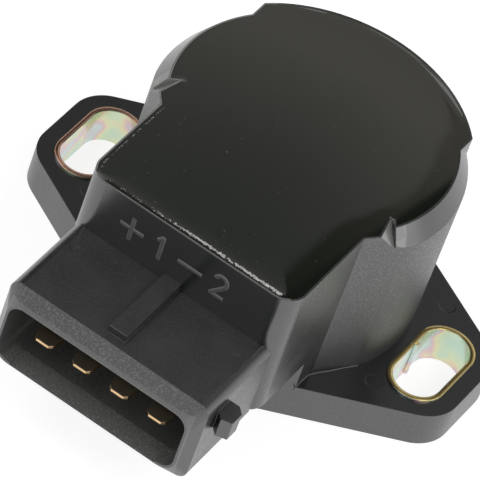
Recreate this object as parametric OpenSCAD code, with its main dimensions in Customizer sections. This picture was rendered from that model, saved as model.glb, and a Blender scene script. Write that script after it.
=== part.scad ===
// Throttle position sensor with a two-eared flange, a resin-sealed top and a four-pin plug socket.
// Origin: the rotor's axis at the flange's underside. +Z up, +X along the ears, plug towards -Y.

/* [Flange] */
// Thickness of the flange
flange_t = 4.6; // [3.5:0.1:6]
// How far the round part of the flange stands out past the body
flange_lip = 1.2; // [0.8:0.1:2]
// Distance between the centres of the two screw slots
slot_spacing = 46.2; // [46:0.1:50]
// Wall of the ear outside the bush, along X
ear_wall = 2.0; // [1.5:0.1:3]
// Wall of the ear beside the bush's ends, along Y
ear_side_wall = 1.8; // [1.4:0.1:2.6]
// Corner radius of the ears
ear_corner_r = 5.0; // [3:0.1:6]

/* [Bushes] */
// Width of a bush across its flat sides, outside
bush_w = 7.0; // [5.6:0.1:7.2]
// Length of a bush over its round ends, outside
bush_len = 13.2; // [10:0.1:14]
// Sheet thickness of a bush
bush_wall = 0.6; // [0.4:0.05:0.8]
// How far a bush stands up past the flange
bush_proud = 0.25; // [0.1:0.05:0.5]
// Place of the rolled seam along the bush's inner side
seam_y = 0.9; // [-2:0.1:2]
// Gap of the rolled seam
seam_gap = 0.16; // [0.1:0.02:0.3]
// Radius of the turned-in edge behind the seam
seam_bead_r = 0.35; // [0.2:0.05:0.4]

/* [Body] */
// Height of the top rim above the flange's underside
body_h = 26.2; // [24.5:0.1:34]
// Radius of the round body
body_r = 18.4; // [18:0.1:19.5]
// Wall between the body's outside and the board's seat
body_wall = 3.2; // [2.4:0.1:3.6]
// How far the conical side bands lean in at the top
crown_in = 1.55; // [1:0.05:2]
// Height of the side bands
crown_drop = 2.4; // [1.6:0.1:3]
// Width of the straight back block above the side bands
block_w = 28.5; // [27.8:0.1:29.2]
// Distance from the axis back to the notch's point
notch_y = 6.2; // [5:0.1:6.4]
// Slope of the notch's rear wall
notch_angle = 34; // [25:1:40]
// Slope of the notch's floor
notch_slope = 52; // [45:1:60]
// Width over the two small tabs in front of the notches
tab_w = 30.0; // [29.4:0.1:30.4]
// Distance from the axis at which the tabs reach that width
tab_y = 9.6; // [7.6:0.1:10]
// Distance from the axis at which the slanted flat leaves the round body
flat_y0 = 6.3; // [6:0.1:7]
// Distance from the axis at which the slanted flat meets the neck
flat_y1 = 11.1; // [10.6:0.1:12]
// Radius between the slanted flat and the round body
flat_soft_r = 8.0; // [4:0.5:10]
// Width of the wall around the resin
rim_w = 0.6; // [0.4:0.1:0.9]
// Width of the rim's top outside the step that the resin fills
rim_land = 0.2; // [0.15:0.05:0.35]
// Depth of that step
rim_step = 0.5; // [0.5:0.1:0.8]
// Depth of the well for cover and resin
well_depth = 4.6; // [3.5:0.1:5]
// How far the resin stays under the rim
resin_drop = 0.15; // [0.05:0.05:0.4]

/* [Neck] */
// Width of the neck
neck_w = 27.5; // [27:0.1:28]
// Distance from the axis to the neck's front wall
neck_front = 25.9; // [25:0.1:28]
// Radius of the neck's upright front corners
neck_corner_r = 2.6; // [1.5:0.1:3]
// Height of the neck's underside above the flange's underside
neck_base_h = 8.5; // [7.5:0.1:9]
// Thickness of the neck's side walls
neck_wall = 1.85; // [1.5:0.05:2.2]
// Thickness of the neck's front wall above the socket
front_wall = 2.3; // [1.8:0.1:2.8]
// Thickness of the neck's floor
neck_floor = 2.0; // [1.5:0.1:2.6]
// Width of each ledge that carries the board's tongue
tongue_ledge = 2.3; // [1.5:0.1:2.6]

/* [Plug socket] */
// Width of the socket's shroud
plug_w = 26.2; // [25.6:0.1:27]
// Height of the shroud
plug_h = 11.55; // [11:0.05:12.5]
// Height of the shroud's underside above the flange's underside
plug_z = 7.2; // [6.8:0.1:8]
// Length of the shroud from the neck to the bevelled nose
plug_len = 12.2; // [11.5:0.1:14]
// Edge radius of the shroud
plug_edge_r = 1.4; // [0.8:0.1:1.8]
// Length of the bevelled nose
nose_len = 1.6; // [1:0.1:2.2]
// How far the nose leans in at each side
nose_side = 1.1; // [0.8:0.1:1.4]
// How far the nose leans in at the top
nose_top = 1.55; // [1.2:0.05:1.7]
// How far the nose leans in at the bottom
nose_bottom = 1.4; // [1:0.1:1.5]
// Corner radius of the lip
lip_r = 2.0; // [1.6:0.1:2.4]
// Width of the lip's flat land
lip_land = 0.3; // [0.2:0.05:0.5]
// Depth of the socket from the lip
socket_depth = 10.7; // [9.5:0.1:11.5]
// Width of the sloping lead-in on the socket's floor
leadin_w = 19.4; // [16:0.2:19.8]
// Length of the lead-in
leadin_len = 2.7; // [1.5:0.1:4]
// Depth of the lead-in at the lip
leadin_depth = 0.25; // [0.1:0.05:0.28]
// Width of the key rib on top of the shroud
rib_w = 2.3; // [1.8:0.1:3]
// Height of the key rib
rib_h = 1.0; // [0.6:0.1:1.5]
// Length of the key rib
rib_len = 11.0; // [8:0.1:11.4]
// Sideways place of the key rib
rib_x = -0.2; // [-1:0.1:1]
// Length of a locking lug
lug_len = 3.1; // [2.4:0.1:3.6]
// Height of a locking lug
lug_h = 2.6; // [1.8:0.1:3]
// How far a locking lug stands out
lug_out = 2.1; // [1.4:0.1:2.4]
// Size of the lug's upright chamfers
lug_chamfer = 0.8; // [0.4:0.1:1]
// Distance from the lug's front to the end of the shroud's straight part
lug_back = 1.9; // [1.5:0.1:4]
// Distance from the shroud's top down to the lug
lug_down = 2.3; // [1.6:0.1:4]

/* [Pins] */
// Distance between neighbouring pins
pin_pitch = 5.0; // [4.4:0.1:5.2]
// Width of a pin
pin_w = 2.8; // [2.2:0.1:3]
// Thickness of a pin
pin_t = 0.8; // [0.6:0.1:1]
// Height of the pins' middle above the shroud's underside
pin_rise = 5.45; // [5.2:0.05:6]
// How far the pin tips stay inside the lip
pin_inset = 1.6; // [1:0.1:3]
// Width of a pin's tip
pin_tip_w = 2.4; // [1.6:0.1:2.5]
// Thickness of a pin's tip
pin_tip_t = 0.35; // [0.25:0.05:0.5]
// Size of the two corners cut off a pin's tip
pin_corner = 0.4; // [0.2:0.05:0.6]
// Length of the taper at a pin's tip
pin_taper = 1.5; // [0.8:0.1:2]
// Width of the upright leg inside the neck
leg_w = 2.0; // [1.4:0.1:2.2]
// Gap between the neck's front wall and the upright leg
leg_gap = 0.7; // [0.4:0.1:1]
// Gap beside a pin where it passes the ledges
leg_side_gap = 0.3; // [0.2:0.05:0.5]
// How far the leg reaches above the board
leg_rise = 0.9; // [0.5:0.1:1.5]
// Radius of a bond lead's wire
lead_r = 0.2; // [0.15:0.05:0.3]
// Radius of a bond lead's bow
lead_bow_r = 1.25; // [1:0.05:1.5]

/* [Shaft side] */
// Radius of the pilot recess in the underside
pilot_r = 13.0; // [12.4:0.1:13.2]
// Depth of the pilot recess
pilot_depth = 3.0; // [2.6:0.1:3.4]
// Wall between the pilot recess and the seal's groove
groove_wall = 1.6; // [1.2:0.1:1.8]
// Width of the seal's groove
groove_w = 2.3; // [1.8:0.1:2.5]
// Depth of the seal's groove
groove_depth = 2.0; // [1.6:0.1:2.4]
// Thickness of the web that carries the bearing
web_t = 3.4; // [2.8:0.1:3.8]
// Wall of the boss around the bearing
boss_wall = 2.1; // [1.6:0.1:2.3]
// Length of the bearing
bearing_len = 4.8; // [4.4:0.1:5.2]
// Wall of the bearing
bearing_wall = 2.45; // [2:0.05:2.6]
// Thickness of the retaining ring under the shaft seal
retainer_t = 0.4; // [0.3:0.05:0.6]
// Width of the retaining ring
retainer_w = 1.9; // [1.2:0.1:2]
// Thickness of the shaft seal
shaft_seal_t = 1.2; // [1:0.1:1.5]
// Thickness of the thrust washer
washer_t = 0.4; // [0.3:0.05:0.6]
// Width of the thrust washer
washer_w = 2.1; // [1.5:0.1:2.4]

/* [Rotor] */
// Radius of the rotor's hub
hub_r = 6.0; // [5.8:0.05:6.2]
// How far the hub stays inside the pilot recess's floor
hub_inset = 0.2; // [0.1:0.05:0.4]
// Radius of the shoulder above the bearing
shoulder_r = 9.5; // [8.8:0.1:9.8]
// Height of the shoulder
shoulder_h = 2.15; // [2:0.05:2.6]
// Thickness of the disc
disc_t = 2.2; // [1.6:0.1:2.4]
// Gap between the disc and the bore around it
disc_gap = 1.0; // [0.8:0.05:1.3]
// Radius of the round shaft socket
drive_r = 4.0; // [3.6:0.05:4.2]
// Distance from the axis to the shaft socket's flat
drive_flat = 3.1; // [2.9:0.05:3.3]
// Depth of the shaft socket
drive_depth = 6.0; // [5.5:0.1:6.2]
// Radius of the top pivot
pivot_r = 2.5; // [2:0.1:2.8]
// Height of the top pivot above the disc
pivot_h = 6.3; // [5.8:0.1:6.5]
// Angle that the rotor turns through
travel = 100; // [80:1:110]
// Angle of the stop tab at rest
tab_angle = 40; // [30:1:60]
// Angle that the stop tab covers
tab_span = 14; // [10:1:18]
// How far the stop tab stands out of the disc
tab_out = 0.75; // [0.6:0.05:0.75]
// Angle that a stop rib covers
stop_span = 11; // [8:1:16]
// Free angle between the tab and a stop at each end
stop_slack = 0.6; // [0.3:0.1:1]

/* [Drive clip] */
// Width of the leaf spring
clip_w = 3.8; // [3:0.1:4]
// Length of the leaf spring
clip_len = 5.2; // [4.6:0.1:5.3]
// Sheet thickness of the leaf spring
clip_t = 0.3; // [0.2:0.05:0.35]
// Radius that the leaf is bowed to
clip_bow_r = 7.0; // [6:0.1:9]
// How far the bow stands into the shaft socket
clip_proud = 0.2; // [0.1:0.05:0.3]

/* [Wipers and board] */
// Space between the disc and the board
track_gap = 2.3; // [2:0.1:2.6]
// Radius of the inner track
track_inner_r = 7.0; // [6.6:0.1:7.2]
// Radius of the outer track
track_outer_r = 10.8; // [10.4:0.1:11]
// Width of a wiper
wiper_w = 2.4; // [1.8:0.1:2.6]
// Sheet thickness of a wiper
wiper_t = 0.2; // [0.15:0.05:0.25]
// Fingers on each wiper
wiper_fingers = 3; // [2:1:4]
// Slit between two fingers
finger_slit = 0.25; // [0.2:0.05:0.35]
// Radius of the pins that hold a wiper
stake_r = 0.5; // [0.4:0.05:0.6]
// Thickness of the resistor board
board_t = 1.0; // [0.8:0.1:1.4]
// Radius of the board's centre hole
board_hole_r = 4.0; // [3.4:0.1:4.4]
// How far the board's tongue reaches towards the pins, from the axis
tongue_reach = 20.9; // [20.4:0.1:21.2]
// Thickness of the inner cover
cover_t = 1.0; // [0.8:0.1:1.4]
// Wall of the cover's clamping skirt
skirt_wall = 1.2; // [0.8:0.1:1.4]
// Radius of the cover's pivot boss
cover_boss_r = 4.5; // [3.8:0.1:5]

/* [Return spring] */
// Radius of the spring wire
wire_r = 0.45; // [0.3:0.05:0.45]
// Turns of the spring
spring_turns = 4; // [3:1:4]
// Rise of the spring in one turn
spring_pitch = 1.08; // [1:0.02:1.08]

/* [Clearances] */
// Radial gap of turning fits
running_gap = 0.05; // [0.02:0.01:0.09]
// End gap of the rotor
axial_gap = 0.05; // [0.03:0.01:0.1]
// Gap around pieces that are laid in
seat_gap = 0.1; // [0.05:0.01:0.15]
// Gap between the spring and the boss inside it
spring_gap = 0.35; // [0.2:0.05:0.35]
// Gap around the spring's upper end in the disc
hook_gap = 0.2; // [0.15:0.05:0.3]

/* [Hidden] */
$fn = 96;

// Overlap that lets a cut run clear of a face
eps = 0.5;

// Flange and ears
flange_r = body_r + flange_lip;
ear_reach = slot_spacing / 2 + bush_w / 2 + ear_wall;
ear_x = ear_reach - ear_corner_r;
ear_y = bush_len / 2 + ear_side_wall - ear_corner_r;

// Body
crown_r = body_r - crown_in;
crown_z = body_h - crown_drop;
seat_r = body_r - body_wall;
board_step = 1.0;
bore_r = seat_r - board_step;
well_z = body_h - well_depth;
step_z = body_h - rim_step;

// Shaft side, from the bottom up
groove_r = pilot_r + groove_wall;
bearing_in_r = hub_r + running_gap;
bearing_out_r = bearing_in_r + bearing_wall;
seal_z = pilot_depth + retainer_t;
bearing_z = seal_z + shaft_seal_t;
boss_z = bearing_z + bearing_len;
boss_r = bearing_out_r + boss_wall;
web_z = pilot_depth + web_t;

// Rotor, from the bottom up
hub_z = pilot_depth + hub_inset;
shoulder_z = boss_z + washer_t + axial_gap;
disc_z = shoulder_z + shoulder_h;
disc_top = disc_z + disc_t;
disc_r = bore_r - disc_gap;
board_z = disc_top + track_gap;
board_top = board_z + board_t;
pivot_top = disc_top + pivot_h;

// Plug socket
plug_y = -neck_front - plug_len;
lip_y = plug_y - nose_len;
plug_mid_z = plug_z + plug_h / 2;
lip_w = plug_w - 2 * nose_side;
lip_h = plug_h - nose_top - nose_bottom;
lip_mid_z = plug_z + nose_bottom + lip_h / 2;
socket_w = lip_w - 2 * lip_land;
socket_h = lip_h - 2 * lip_land;
socket_floor_y = lip_y + socket_depth;
socket_bottom_z = lip_mid_z - socket_h / 2;

// Pins
pin_z = plug_z + pin_rise;
pin_x0 = -1.5 * pin_pitch;
neck_in_y = -neck_front + front_wall;
leg_y = neck_in_y + leg_gap;
leg_top = board_top + leg_rise;

// Neck's inside
neck_in_w = neck_w - 2 * neck_wall;
neck_low_w = neck_in_w - 2 * tongue_ledge;
neck_floor_z = neck_base_h + neck_floor;

// Spring
spring_r = boss_r + spring_gap + wire_r;
spring_z = web_z + wire_r;
spring_top = spring_z + spring_turns * spring_pitch;
spring_side = 180;

housing_color = [0.17, 0.18, 0.17];
resin_color = [0.2, 0.21, 0.18];
pin_color = [0.78, 0.65, 0.42];
steel_color = [0.72, 0.66, 0.55];
brass_color = [0.75, 0.6, 0.3];
rubber_color = [0.08, 0.08, 0.08];
rotor_color = [0.85, 0.83, 0.76];

// A rectangle about its centre with rounded corners
module rounded_rect(w, h, r) {
    square([w - 2 * r, h], center = true);
    square([w, h - 2 * r], center = true);
    for (sx = [-1, 1], sy = [-1, 1])
        translate([sx * (w / 2 - r), sy * (h / 2 - r)])
            circle(r);
}

// A slot along Y with round ends
module obround(w, len) {
    square([w, len - w], center = true);
    for (s = [-1, 1])
        translate([0, s * (len - w) / 2])
            circle(w / 2);
}

// A ring about the Z axis
module ring(r_in, r_out, z, h) {
    translate([0, 0, z])
        difference() {
            cylinder(r = r_out, h = h);
            translate([0, 0, -eps])
                cylinder(r = r_in, h = h + 2 * eps);
        }
}

// A slab that stands in the XZ plane and runs from y towards -Y
module upright_slab(y, t) {
    translate([0, y, 0])
        rotate([90, 0, 0])
            linear_extrude(t)
                children();
}

// A plate that stands in the YZ plane, centred on x
module side_slab(x, t) {
    translate([x - t / 2, 0, 0])
        rotate([90, 0, 90])
            linear_extrude(t)
                children();
}

// Its children on the right side and mirrored on the left
module both_sides() {
    children();
    mirror([1, 0, 0])
        children();
}

// A wedge from the axis outwards, between two angles less than 90 degrees apart
module wedge(r, a0, a1) {
    polygon([[0, 0], 2 * r * [cos(a0), sin(a0)], 2 * r * [cos(a1), sin(a1)]]);
}

// One ear of the flange, with edges tangent to the round middle
module ear_plan() {
    reach = sqrt(ear_x * ear_x + ear_y * ear_y);
    a = atan2(ear_y, ear_x) + acos((flange_r - ear_corner_r) / reach);
    n = [cos(a), sin(a)];
    root = flange_r * n;
    corner = [ear_x, ear_y] + ear_corner_r * n;
    polygon([
        [0, 0], root, corner, [ear_x, ear_y], [ear_reach, ear_y],
        [ear_reach, -ear_y], [ear_x, -ear_y], [corner.x, -corner.y], [root.x, -root.y]
    ]);
    for (s = [-1, 1])
        translate([ear_x, s * ear_y])
            circle(ear_corner_r);
}

module flange_plan() {
    circle(flange_r);
    both_sides()
        ear_plan();
}

// What lies outside the slanted flat between the round body and the neck, with a soft rear corner
module flat_cut(inset) {
    near = [neck_w / 2, -flat_y1];
    far = [sqrt(body_r * body_r - flat_y0 * flat_y0), -flat_y0];
    angle = atan2(far.y - near.y, far.x - near.x);
    along = [cos(angle), sin(angle)];
    out = [sin(angle), -cos(angle)];
    off = near.x * out.x + near.y * out.y - flat_soft_r;
    center = off * out + sqrt(pow(body_r - flat_soft_r, 2) - off * off) * along;
    translate(near)
        rotate(angle)
            translate([-body_r, inset - 2 * body_r])
                square([3 * body_r, 2 * body_r]);
    translate(center)
        difference() {
            wedge(flat_soft_r, angle - 90, atan2(center.y, center.x));
            circle(flat_soft_r - inset);
        }
}

module neck_plan(inset) {
    w = neck_w - 2 * inset;
    front = neck_front - inset;
    r = neck_corner_r - inset;
    translate([-w / 2, r - front])
        square([w, front - r]);
    translate([r - w / 2, -front])
        square([w - 2 * r, front]);
    for (s = [-1, 1])
        translate([s * (w / 2 - r), r - front])
            circle(r);
}

// Outline of the body, drawn in by a wall
module body_plan(inset) {
    difference() {
        circle(body_r - inset);
        both_sides()
            flat_cut(inset);
    }
    neck_plan(inset);
}

// What the notch beside the tab takes away from the side band
module notch_plan(inset) {
    point = [block_w / 2 - inset, inset - notch_y];
    out = point + 2 * body_r * [cos(notch_angle), -sin(notch_angle)];
    polygon([point, out, [out.x, -3 * body_r], [point.x, -3 * body_r]]);
}

// The straight blocks that rise past the side bands at the back and in front
module block_plan(inset) {
    w = block_w / 2 - inset;
    t = tab_w / 2 - inset;
    translate([-w, 0])
        square([2 * w, body_r]);
    polygon([
        [-w, -notch_y], [-t, -tab_y], [-t, -neck_front],
        [t, -neck_front], [t, -tab_y], [w, -notch_y]
    ]);
}

// Outline of the top rim, drawn in by a wall
module crown_plan(inset) {
    intersection() {
        body_plan(inset);
        union() {
            difference() {
                circle(crown_r - inset);
                both_sides()
                    notch_plan(inset);
            }
            block_plan(inset);
        }
    }
}

// Floor of the notch, which slopes down and outwards from the tab's edge
module notch_floor() {
    point = [block_w / 2, -notch_y];
    corner = [tab_w / 2, -tab_y];
    low = -crown_drop - eps;
    intersection() {
        translate([0, 0, crown_z])
            linear_extrude(crown_drop)
                notch_plan(0);
        translate([point.x, point.y, body_h])
            rotate(atan2(corner.y - point.y, corner.x - point.x))
                side_slab(0, 2 * body_r)
                    polygon([[-eps, 0], [0, 0], [-low / tan(notch_slope), low], [-eps, low]]);
    }
}

// The top of the body, with its conical side bands and notches
module crown() {
    intersection() {
        translate([0, 0, crown_z])
            linear_extrude(crown_drop)
                body_plan(0);
        union() {
            difference() {
                translate([0, 0, crown_z])
                    cylinder(r1 = body_r, r2 = crown_r, h = crown_drop);
                translate([0, 0, crown_z])
                    linear_extrude(crown_drop + eps)
                        both_sides()
                            notch_plan(0);
            }
            both_sides()
                notch_floor();
            translate([0, 0, crown_z])
                linear_extrude(crown_drop)
                    block_plan(0);
        }
    }
}

// The bevelled end of the shroud
module nose() {
    seat = 0.1;
    hull() {
        upright_slab(plug_y + seat, seat)
            translate([0, plug_mid_z])
                rounded_rect(plug_w, plug_h, plug_edge_r, $fn = 32);
        upright_slab(lip_y + seat, seat)
            translate([0, lip_mid_z])
                rounded_rect(lip_w, lip_h, lip_r, $fn = 32);
    }
}

// A lug on the shroud's right side that the plug's latch snaps over
module lug() {
    front = plug_y + lug_back;
    wall = plug_w / 2;
    top = plug_z + plug_h - lug_down;
    translate([0, 0, top - lug_h])
        linear_extrude(lug_h)
            polygon([
                [wall - eps, front + lug_chamfer],
                [wall, front + lug_chamfer],
                [wall + lug_chamfer, front],
                [wall + lug_out, front + lug_chamfer / 2],
                [wall + lug_out, front + lug_len - lug_chamfer],
                [wall + lug_out - lug_chamfer, front + lug_len],
                [wall - eps, front + lug_len]
            ]);
}

// Outside of the plug socket
module shroud() {
    upright_slab(-neck_front + eps, plug_len + eps)
        translate([0, plug_mid_z])
            rounded_rect(plug_w, plug_h, plug_edge_r);
    nose();
    translate([rib_x - rib_w / 2, -neck_front - rib_len, plug_z + plug_h - eps])
        cube([rib_w, rib_len + eps, rib_h + eps]);
    lug();
}

// Hollow of the plug socket with the lead-in on its floor
module socket() {
    upright_slab(socket_floor_y, socket_depth + eps)
        translate([0, lip_mid_z])
            rounded_rect(socket_w, socket_h, lip_r - lip_land);
    slope = leadin_depth / leadin_len;
    side_slab(0, leadin_w)
        polygon([
            [lip_y + leadin_len, socket_bottom_z + eps],
            [lip_y + leadin_len, socket_bottom_z],
            [lip_y - eps, socket_bottom_z - leadin_depth - eps * slope],
            [lip_y - eps, socket_bottom_z + eps]
        ]);
}

// The two ribs that stop the rotor's tab
module stop_ribs() {
    first = tab_angle - tab_span / 2 - stop_slack - stop_span;
    second = tab_angle + travel + tab_span / 2 + stop_slack;
    translate([0, 0, web_z - eps])
        linear_extrude(disc_top - web_z + eps)
            intersection() {
                difference() {
                    circle(bore_r + eps);
                    circle(disc_r + 3 * running_gap);
                }
                union() {
                    wedge(bore_r, first, first + stop_span);
                    wedge(bore_r, second, second + stop_span);
                }
            }
}

// Outline of the board's seat, which keeps clear of the notches
module seat_plan(gap) {
    intersection() {
        circle(seat_r - gap);
        crown_plan(rim_w + gap);
    }
}

// A channel for each pin, which keeps the ledges clear of it in a narrow neck
module leg_channels() {
    w = pin_w + 2 * leg_side_gap;
    for (i = [0:3])
        translate([pin_x0 + i * pin_pitch - w / 2, neck_in_y, neck_floor_z])
            cube([w, leg_gap + pin_t + leg_side_gap, board_z - neck_floor_z + eps]);
}

// Everything that is hollow between the web and the well
module body_hollow() {
    difference() {
        union() {
            translate([0, 0, web_z])
                cylinder(r = bore_r, h = well_z - web_z);
            translate([-neck_low_w / 2, neck_in_y, neck_floor_z])
                cube([neck_low_w, -neck_in_y, board_z - neck_floor_z + eps]);
            leg_channels();
        }
        translate([0, 0, web_z - eps])
            cylinder(r = boss_r, h = boss_z - web_z + eps);
    }
    translate([0, 0, board_z])
        linear_extrude(well_z - board_z)
            seat_plan(0);
    translate([-neck_in_w / 2, neck_in_y, board_z])
        cube([neck_in_w, -neck_in_y, well_z - board_z]);
    translate([0, 0, well_z])
        linear_extrude(well_depth + eps)
            crown_plan(rim_w);
    translate([0, 0, step_z])
        linear_extrude(rim_step + eps)
            crown_plan(rim_land);
}

// Pocket in the bore's wall for the spring's lower end
module spring_pocket() {
    rotate(spring_side)
        translate([spring_r, -wire_r - seat_gap, web_z])
            cube([bore_r + board_step - spring_r, 2 * (wire_r + seat_gap), 2 * wire_r + seat_gap]);
}

module housing() {
    color(housing_color)
        difference() {
            union() {
                linear_extrude(flange_t)
                    flange_plan();
                linear_extrude(neck_base_h)
                    intersection() {
                        flange_plan();
                        body_plan(0);
                    }
                translate([0, 0, neck_base_h])
                    linear_extrude(crown_z - neck_base_h)
                        body_plan(0);
                crown();
                shroud();
            }
            difference() {
                body_hollow();
                stop_ribs();
            }
            spring_pocket();
            socket();
            for (i = [0:3])
                translate([pin_x0 + i * pin_pitch - pin_w / 2, socket_floor_y - eps, pin_z - pin_t / 2])
                    cube([pin_w, neck_in_y - socket_floor_y + 2 * eps, pin_t]);
            translate([0, 0, -eps])
                cylinder(r = pilot_r, h = pilot_depth + eps);
            cylinder(r = bearing_out_r, h = body_h);
            ring(groove_r, groove_r + groove_w, -eps, groove_depth + eps);
            for (s = [-1, 1])
                translate([s * slot_spacing / 2, 0, -eps])
                    linear_extrude(flange_t + 2 * eps)
                        obround(bush_w, bush_len);
        }
}

module potting() {
    bottom = well_z + cover_t;
    top = body_h - resin_drop;
    color(resin_color) {
        translate([0, 0, bottom])
            linear_extrude(top - bottom)
                crown_plan(rim_w);
        translate([0, 0, step_z])
            linear_extrude(top - step_z)
                crown_plan(rim_land);
    }
}

// Plate under the resin, with a skirt that holds the board down and a boss for the rotor's pivot
module inner_cover() {
    pivot_gap = 0.2;
    boss_gap = 0.5;
    boss_bottom = board_top + boss_gap;
    color(housing_color)
        difference() {
            union() {
                translate([0, 0, well_z])
                    linear_extrude(cover_t)
                        crown_plan(rim_w + seat_gap);
                translate([0, 0, board_top])
                    linear_extrude(well_z - board_top)
                        difference() {
                            seat_plan(seat_gap);
                            circle(seat_r - seat_gap - skirt_wall);
                        }
                translate([0, 0, boss_bottom])
                    cylinder(r = cover_boss_r, h = well_z - boss_bottom + eps);
            }
            translate([0, 0, boss_bottom - eps])
                cylinder(r = pivot_r + running_gap, h = pivot_top + pivot_gap - boss_bottom + eps);
        }
}

module resistor_board() {
    tongue_w = neck_in_w - 2 * seat_gap;
    color([0.2, 0.42, 0.3])
        translate([0, 0, board_z])
            linear_extrude(board_t)
                difference() {
                    union() {
                        seat_plan(seat_gap);
                        translate([-tongue_w / 2, -tongue_reach])
                            square([tongue_w, tongue_reach]);
                    }
                    circle(board_hole_r);
                }
}

// A pin: a blade in the socket that turns up inside the neck
module terminal(i) {
    tip_y = lip_y + pin_inset;
    tip = pin_tip_w / 2;
    bottom = pin_z - pin_t / 2;
    full_y = tip_y + pin_taper;
    color(pin_color)
        translate([pin_x0 + i * pin_pitch, 0, 0]) {
            intersection() {
                translate([0, 0, bottom])
                    linear_extrude(pin_t)
                        polygon([
                            [pin_corner - tip, tip_y], [tip - pin_corner, tip_y], [tip, tip_y + pin_corner],
                            [pin_w / 2, full_y], [pin_w / 2, leg_y + pin_t],
                            [-pin_w / 2, leg_y + pin_t], [-pin_w / 2, full_y], [-tip, tip_y + pin_corner]
                        ]);
                side_slab(0, pin_w)
                    polygon([
                        [tip_y, pin_z - pin_tip_t / 2], [tip_y, pin_z + pin_tip_t / 2],
                        [full_y, bottom + pin_t], [leg_y + pin_t, bottom + pin_t],
                        [leg_y + pin_t, bottom], [full_y, bottom]
                    ]);
            }
            translate([-leg_w / 2, leg_y, bottom])
                cube([leg_w, pin_t, leg_top - bottom]);
        }
}

module terminal_plus() {
    terminal(0);
}

module terminal_1() {
    terminal(1);
}

module terminal_minus() {
    terminal(2);
}

module terminal_2() {
    terminal(3);
}

// A bowed wire from a pin's top to the board
module bond_lead(x) {
    start_y = leg_y + pin_t / 2;
    translate([x, start_y + lead_bow_r, leg_top])
        rotate([90, 0, 90])
            rotate_extrude(angle = 180, $fn = 48)
                translate([lead_bow_r, 0])
                    circle(lead_r, $fn = 16);
    translate([x, start_y + 2 * lead_bow_r, board_top])
        cylinder(r = lead_r, h = leg_top - board_top, $fn = 16);
}

module bond_leads() {
    color("silver")
        for (i = [0:3])
            bond_lead(pin_x0 + i * pin_pitch);
}

// Sheet metal sleeve rolled to a slot, with its rear edge turned in at the seam
module screw_bush() {
    seam_x = -bush_w / 2 + bush_wall;
    color(steel_color)
        translate([slot_spacing / 2, 0, 0])
            linear_extrude(flange_t + bush_proud)
                difference() {
                    union() {
                        difference() {
                            obround(bush_w, bush_len);
                            obround(bush_w - 2 * bush_wall, bush_len - 2 * bush_wall);
                        }
                        translate([seam_x, seam_y + seam_gap / 2 + seam_bead_r])
                            circle(seam_bead_r, $fn = 24);
                    }
                    translate([-bush_w, seam_y - seam_gap / 2])
                        square([bush_w, seam_gap]);
                }
}

module right_bush() {
    screw_bush();
}

module left_bush() {
    mirror([1, 0, 0])
        screw_bush();
}

// Bow of the drive clip, as radii about a line beside the shaft socket
clip_center_x = drive_flat - clip_proud + clip_bow_r;
clip_seat_x = clip_center_x - sqrt(pow(clip_bow_r - clip_t, 2) - pow(clip_len / 2, 2));
clip_mid_z = hub_z + drive_depth / 2;

// The shaft socket: round with one flat, and a pocket for the clip behind the flat
module shaft_socket() {
    translate([0, 0, hub_z - eps])
        linear_extrude(drive_depth + eps)
            difference() {
                circle(drive_r);
                translate([drive_flat, -drive_r])
                    square([drive_r, 2 * drive_r]);
            }
    translate([drive_flat - eps, -clip_w / 2 - seat_gap, hub_z - eps])
        cube([clip_seat_x - drive_flat + eps, clip_w + 2 * seat_gap, drive_depth + eps]);
}

module rotor() {
    color(rotor_color)
        difference() {
            union() {
                translate([0, 0, hub_z])
                    cylinder(r = hub_r, h = disc_z - hub_z + eps);
                translate([0, 0, shoulder_z])
                    cylinder(r = shoulder_r, h = shoulder_h + eps);
                translate([0, 0, disc_z])
                    cylinder(r = disc_r, h = disc_t);
                translate([0, 0, disc_z])
                    linear_extrude(disc_t)
                        intersection() {
                            circle(disc_r + tab_out);
                            wedge(disc_r, tab_angle - tab_span / 2, tab_angle + tab_span / 2);
                        }
                translate([0, 0, disc_top - eps])
                    cylinder(r = pivot_r, h = pivot_h + eps);
                for (r = [track_inner_r, track_outer_r])
                    translate([r, stake_y, disc_top - eps])
                        cylinder(r = stake_r, h = stake_h + eps, $fn = 24);
            }
            shaft_socket();
            rotate(spring_side)
                translate([spring_r, 0, disc_z - eps])
                    cylinder(r = wire_r + hook_gap, h = disc_t + 2 * eps, $fn = 32);
        }
}

module drive_clip() {
    color(steel_color)
        translate([clip_center_x, 0, clip_mid_z])
            rotate([90, 0, 0])
                linear_extrude(clip_w, center = true)
                    intersection() {
                        difference() {
                            circle(clip_bow_r);
                            circle(clip_bow_r - clip_t);
                        }
                        translate([-2 * clip_bow_r, -clip_len / 2])
                            square([2 * clip_bow_r, clip_len]);
                    }
}

// Wiper pad and fingers along the tangent, measured from the wiper's middle
pad_y0 = -4.0;
pad_y1 = -1.6;
finger_y = [-1.8, -1.2, 2.2, 2.8, 3.4];
finger_drop = 0.3;
stake_y = (pad_y0 + pad_y1) / 2;
stake_h = 0.45;

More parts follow.
